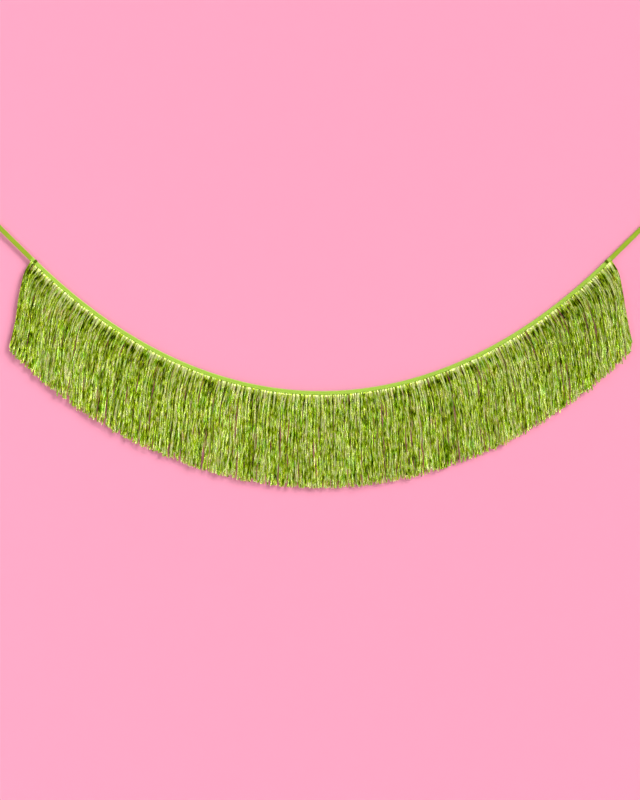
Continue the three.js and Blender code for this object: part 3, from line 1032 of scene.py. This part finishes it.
# Tail: the same folded ribbon drawn flat and taut, gathered a little as it enters the knot
def tailMesh():
    length, tuck = swag.tailLength, ends.tailTuck
    count = round(length / ends.tailStation)
    tucked = -swag.clearance  # from here back it lies inside the header's fold
    alongs = [tucked - tuck, tucked - 0.07 * mm, tucked + 0.05 * mm]
    alongs += [length * i / count for i in range(count + 1)] + [length + tuck]
    stations = [(axisX * (swag.clearance + along), along, -axisZ, axisY) for along in alongs]

    def outlineAt(along):
        start = math.exp(-max(0, along) / (5 * mm))
        gather = max(0, 1 - (length - along) / ends.gatherLength)
        halfDepth = ends.tailHalfDepth + 0.43 * mm * start + 0.7 * mm * gather * gather
        height = swag.foldHeight * (1 - 0.26 * gather * gather)
        if along < tucked:
            height -= ends.tailShrink[0]
            halfDepth -= ends.tailShrink[1]
        wave = noise.noise(Vector((along / (19 * mm), 1.7, 0)))

        def skin(depth, side):
            pleats = ends.pleat * gather * math.sin(depth / (0.55 * mm))
            return (0.05 * mm * wave + pleats + 0.05 * mm) * min(1, depth / (3 * mm)), ends.tailThickness

        return foldOutline(height, height, halfDepth, skin)

    return sweepBand(stations, outlineAt)


# Rounded, slightly pleated section of gathered ribbon
def gatheredOutline(width, thickness, pleats, phase):
    outline, count = [], 20
    for i in range(count + 1):
        angle = 2 * math.pi * i / count
        w = width / 2 * math.copysign(abs(math.cos(angle)) ** 0.75, math.cos(angle))
        d = thickness / 2 * math.copysign(abs(math.sin(angle)) ** 0.8, math.sin(angle))
        d *= 1 - 0.16 * (0.5 + 0.5 * math.cos(pleats * 2 * math.pi * w / width + phase))
        outline.append((w, d))
    return measured(outline)


# Two flat layers of ribbon: folded together at the front edge, and their two selvedges apart at the back one
def doubledOutline(width, thickness, wave):
    half, inset = width / 2, 0.35 * mm
    side = [(-half + 0.1 * mm, -0.3), (-half + inset, -0.46), (-half * 0.6, -0.5), (-half * 0.2, -0.49)]
    side += [(half * 0.2, -0.5), (half * 0.6, -0.49), (half - 0.2 * mm, -0.5)]
    side += [(half, -0.42), (half - 0.05 * mm, -0.1)]
    outline = [(w, d * thickness + wave * math.sin(w / (1.5 * mm))) for w, d in side]
    outline.append((half - inset, 0))
    outline += [(w, -d * thickness + wave * math.sin(w / (1.5 * mm))) for w, d in reversed(side)]
    outline.append((-half, 0))
    return measured(outline + outline[:1], 0.1 * mm)


# Stations along a line of points. axesAt gives the two axes by the point's number and the way forward.
def lineStations(points, axesAt):
    stations, along = [], 0
    for i, point in enumerate(points):
        along += (point - points[i - 1]).length if i else 0
        forward = (points[min(len(points) - 1, i + 1)] - points[max(0, i - 1)]).normalized()
        stations.append((point, along, *axesAt(i, forward)))
    return stations


# One turn of ribbon wound round the knot's own line, from one angle to another
def wrapMesh(angles, reach, radius, dip):
    width, turned = ends.wrapWidth, angles[1] - angles[0]
    count = max(12, round(abs(turned) / math.radians(9)))
    centre = axisX * (knotStart + swag.knotLength / 2)
    points, outwards = [], []
    for i in range(count + 1):
        share = i / count
        angle = angles[0] + turned * share
        tuck = min(1, share / 0.16, (1 - share) / 0.16)
        r = radius * (dip + (1 - dip) * math.sin(tuck * math.pi / 2))
        x = -reach + 2 * reach * (share * 0.75 + 0.25 * step(share, 0, 1))
        outward = Vector((0, math.sin(angle) * ends.knotFlat, math.cos(angle)))
        points.append(centre + axisX * x + outward * r)
        outwards.append(outward.normalized())

    def axesAt(i, forward):
        widthAxis = forward.cross(outwards[i]).normalized()
        return widthAxis, widthAxis.cross(forward).normalized()

    def outlineAt(along):
        swell = 1 + 0.07 * math.sin(along / (2.6 * mm))
        return gatheredOutline(width * swell, ends.wrapThickness, 3, along / (3 * mm))

    return sweepBand(lineStations(points, axesAt), outlineAt)


# Spare end of the ribbon: a flat strip with a swallow-tail cut, curling a little away from the wall
def spareMesh():
    shape = bmesh.new()
    layer = shape.loops.layers.uv.new("flatCut")
    start, reach = ends.spareStart, 5.6 * mm + ends.spareLength
    neck, neckHalf = ends.spareNeck
    rows, columns = 16, 8
    grid = []
    for i in range(rows + 1):
        share = i / rows
        line = []
        for k in range(columns + 1):
            spot = 2 * k / columns - 1
            along = start + (reach - ends.notch * (1 - abs(spot)) - start) * share
            flare = clamp((along - neck) / ends.spareFlare) ** 0.7
            half = neckHalf + (swag.foldHeight / 2 - neckHalf) * flare
            cup = 0.5 * mm * spot * spot * math.sin(share * math.pi)
            line.append((along, -0.9 * mm * math.sin(share * 2.4) ** 2 + cup, spot * half))
        grid.append(line)
    half = ends.spareHalfThickness
    skins = []
    for side in (-half, half):
        skins.append([[shape.verts.new((x, y + side, z)) for x, y, z in line] for line in grid])

    def addPatch(*corners):
        spots = [(grid[i][k][2] + swag.foldHeight, grid[i][k][0]) for skin, i, k in corners]
        addFace(shape, layer, [skins[skin][i][k] for skin, i, k in corners], spots)

    for skin in (0, 1):
        for i in range(rows):
            for k in range(columns):
                addPatch((skin, i, k), (skin, i, k + 1), (skin, i + 1, k + 1), (skin, i + 1, k))
    border = [(0, k) for k in range(columns)] + [(i, columns) for i in range(rows)]
    border += [(rows, k) for k in range(columns, 0, -1)] + [(i, 0) for i in range(rows, 0, -1)]
    for here, there in zip(border, border[1:] + border[:1]):
        addPatch((0, *here), (0, *there), (1, *there), (1, *here))
    bmesh.ops.recalc_face_normals(shape, faces=shape.faces)
    mesh = smoothMesh("spareEnd", shape)
    turn = Matrix.Rotation(math.pi - ends.spareTurn, 4, "Y")
    mesh.transform(Matrix.Translation((knotStart + swag.knotLength / 2, 0, 0)) @ turn)
    return mesh


def knotMesh():
    quarter, radius = math.pi / 2, ends.knotRadius
    wraps = wrapMesh((-0.4 * quarter, 10.2 * quarter), ends.wrapReach, radius, 0.5)
    lock = wrapMesh((3.4 * quarter, -0.2 * quarter), ends.lockReach, radius + ends.lockRise, 0.6)
    core = []
    for i in range(13):
        x = knotStart + 1.2 * mm + (swag.knotLength - 1.5 * mm) * i / 12
        core.append((axisX * x, x, axisZ, axisY))
    bundle = sweepBand(core, lambda along: gatheredOutline(*ends.coreSize, 4, 0))
    shape = bmesh.new()
    for mesh in (wraps, lock, bundle, spareMesh()):
        shape.from_mesh(mesh)
    return smoothMesh("knot", shape)


# Hanging loop: the doubled ribbon goes out of the knot, round the pin and back, with its width along the pin
def loopMesh():
    radius, reach = ends.loopRadius, swag.loopReach
    touch = math.acos(radius / reach)
    places = ((-1.2 * mm, 0.55 * mm), (0.6 * mm, 0.6 * mm), (2.4 * mm, 1.15 * mm))
    line = [Vector((-reach + x, 0, z)) for x, z in places]
    edgeStart = Vector((-radius * math.cos(touch), 0, radius * math.sin(touch)))
    line += [line[2].lerp(edgeStart, share) for share in (0.3, 0.55, 0.8)]
    turns = 26
    for i in range(turns + 1):
        angle = math.pi - touch - (2 * math.pi - 2 * touch) * i / turns
        line.append(Vector((radius * math.cos(angle), 0, radius * math.sin(angle))))
    line += [Vector((point.x, 0, -point.z)) for point in reversed(line[:6])]
    line = [point + axisX * loopCentre for point in line]
    stations = lineStations(line, lambda i, forward: (axisY, forward.cross(axisY).normalized()))
    total = stations[-1][1]

    def outlineAt(along):
        nearKnot = max(0, 1 - min(along, total - along) / ends.gatherLength)
        width = swag.foldHeight * (1 - 0.36 * nearKnot ** 1.5)
        wave = 0.03 * mm * math.sin(along / (1.7 * mm))
        return doubledOutline(width, ends.loopThickness + ends.loopSpread * nearKnot, wave)

    return sweepBand(stations, outlineAt)


def makeEnds():
    parts = (
        ("knot", knotMesh(), gatheredMaterial),
        ("hanging_loop", loopMesh(), ribbonMaterial),
        ("ribbon_tail", tailMesh(), tailShadeMaterial),
    )
    tacks = tackMeshes()
    for side, name in ((-1, "left"), (1, "right")):
        addPiece(name + "BarTack", tacks[name], tackMaterial, "thread", name + "_bar_tack")
        place = ribbonPlace(ribbonHalfArc, side)
        for node, mesh, material in parts:
            title = name + node.title().replace("_", "")
            mesh = placeMesh(mesh.copy(), place)
            addPiece(title, mesh, material, "satin_ribbon", name + "_" + node)
    print("ends ready")


makeEnds()
